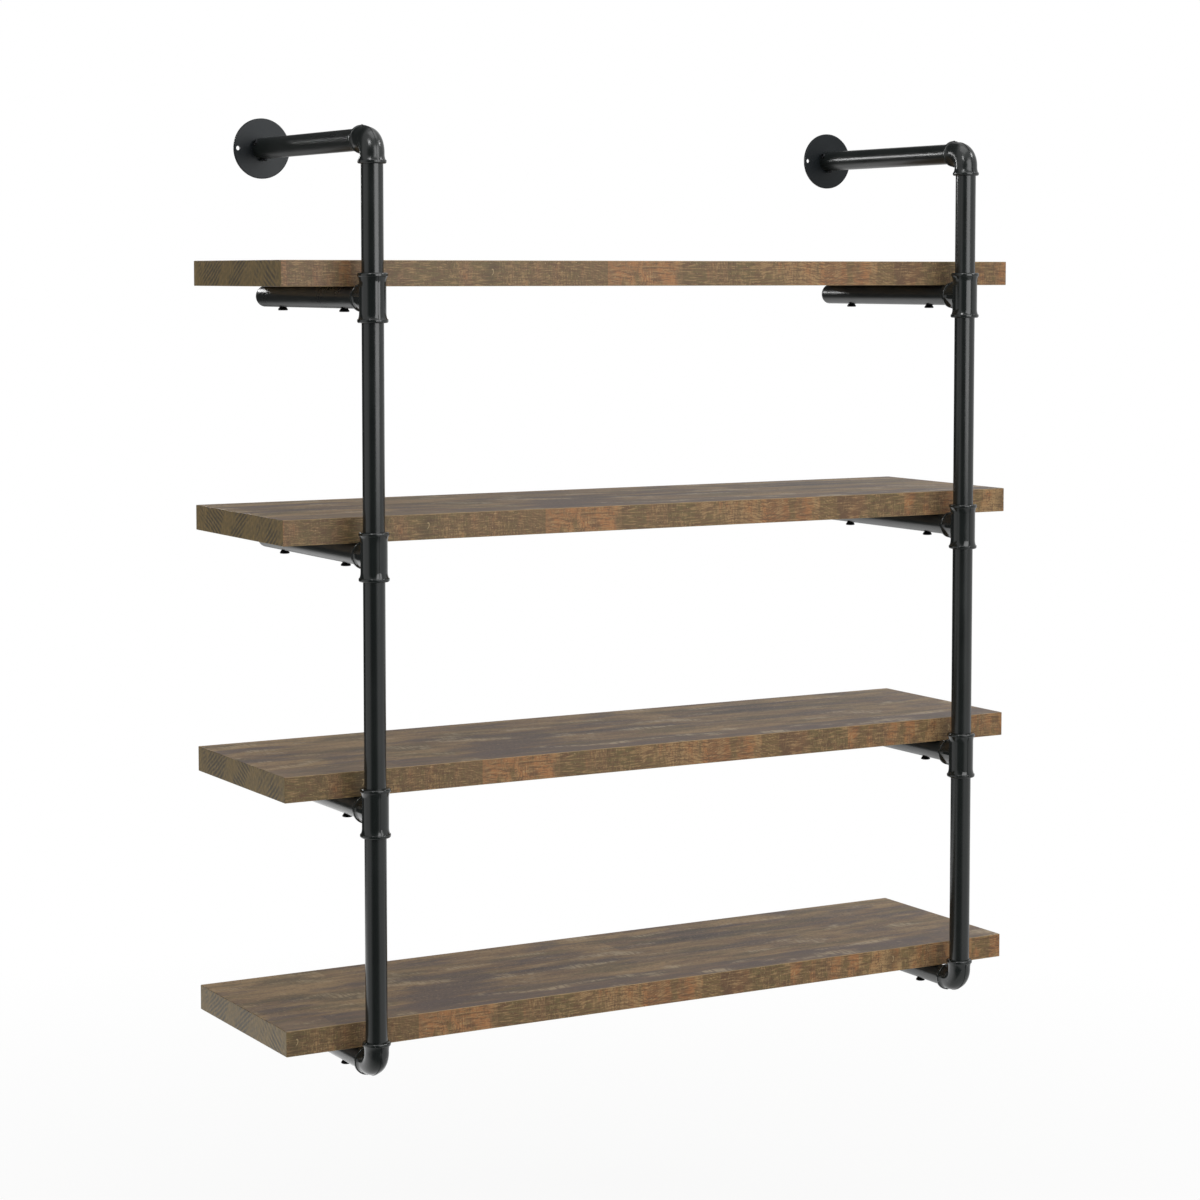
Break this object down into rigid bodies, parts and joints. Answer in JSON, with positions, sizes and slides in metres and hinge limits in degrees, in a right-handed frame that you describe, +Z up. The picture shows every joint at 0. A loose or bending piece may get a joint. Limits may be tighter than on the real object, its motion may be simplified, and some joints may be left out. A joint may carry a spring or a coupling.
{
  "type": "wall shelf",
  "caption": "Wall-hung shelving: long oak-look boards rest on the arms of black pipe ladders that hang from round flanges on the wall.",
  "frame": {"origin": "on the wall, midway between the two wall flanges at the height of their centres", "axes": "+X to the right of someone who faces the shelf, +Y into the wall, +Z up"},
  "size_m": [1.016, 0.3314, 1.1111],
  "materials": {
    "oak_laminate": "matt oak-look laminate with saw marks",
    "plated_insert": "zinc plated",
    "black_plate": "satin black powder coat",
    "black_pipe": "satin black powder coat",
    "black_casting": "satin black powder coat over a casting",
    "black_screw": "black oxide",
    "black_plug": "moulded"
  },
  "bodies": {
    "root": {"shelf_board_1": "oak_laminate", "board_inserts_1": "plated_insert", "shelf_board_2": "oak_laminate", "board_inserts_2": "plated_insert", "shelf_board_3": "oak_laminate", "board_inserts_3": "plated_insert", "shelf_board_4": "oak_laminate", "board_inserts_4": "plated_insert", "left_wall_flange": "black_plate", "left_flange_screws": "black_screw", "left_wall_pipe": "black_pipe", "left_top_elbow": "black_casting", "left_bottom_elbow": "black_casting", "left_upright_1": "black_pipe", "left_shelf_arm_1": "black_pipe", "left_arm_plug_1": "black_plug", "left_shelf_bolts_1": "black_screw", "left_upright_2": "black_pipe", "left_shelf_arm_2": "black_pipe", "left_arm_plug_2": "black_plug", "left_shelf_bolts_2": "black_screw", "left_upright_3": "black_pipe", "left_shelf_arm_3": "black_pipe", "left_arm_plug_3": "black_plug", "left_shelf_bolts_3": "black_screw", "left_upright_4": "black_pipe", "left_shelf_arm_4": "black_pipe", "left_arm_plug_4": "black_plug", "left_shelf_bolts_4": "black_screw", "left_tee_1": "black_casting", "left_tee_2": "black_casting", "left_tee_3": "black_casting", "right_wall_flange": "black_plate", "right_flange_screws": "black_screw", "right_wall_pipe": "black_pipe", "right_top_elbow": "black_casting", "right_bottom_elbow": "black_casting", "right_upright_1": "black_pipe", "right_shelf_arm_1": "black_pipe", "right_arm_plug_1": "black_plug", "right_shelf_bolts_1": "black_screw", "right_upright_2": "black_pipe", "right_shelf_arm_2": "black_pipe", "right_arm_plug_2": "black_plug", "right_shelf_bolts_2": "black_screw", "right_upright_3": "black_pipe", "right_shelf_arm_3": "black_pipe", "right_arm_plug_3": "black_plug", "right_shelf_bolts_3": "black_screw", "right_upright_4": "black_pipe", "right_shelf_arm_4": "black_pipe", "right_arm_plug_4": "black_plug", "right_shelf_bolts_4": "black_screw", "right_tee_1": "black_casting", "right_tee_2": "black_casting", "right_tee_3": "black_casting"}
  },
  "joints": []
}
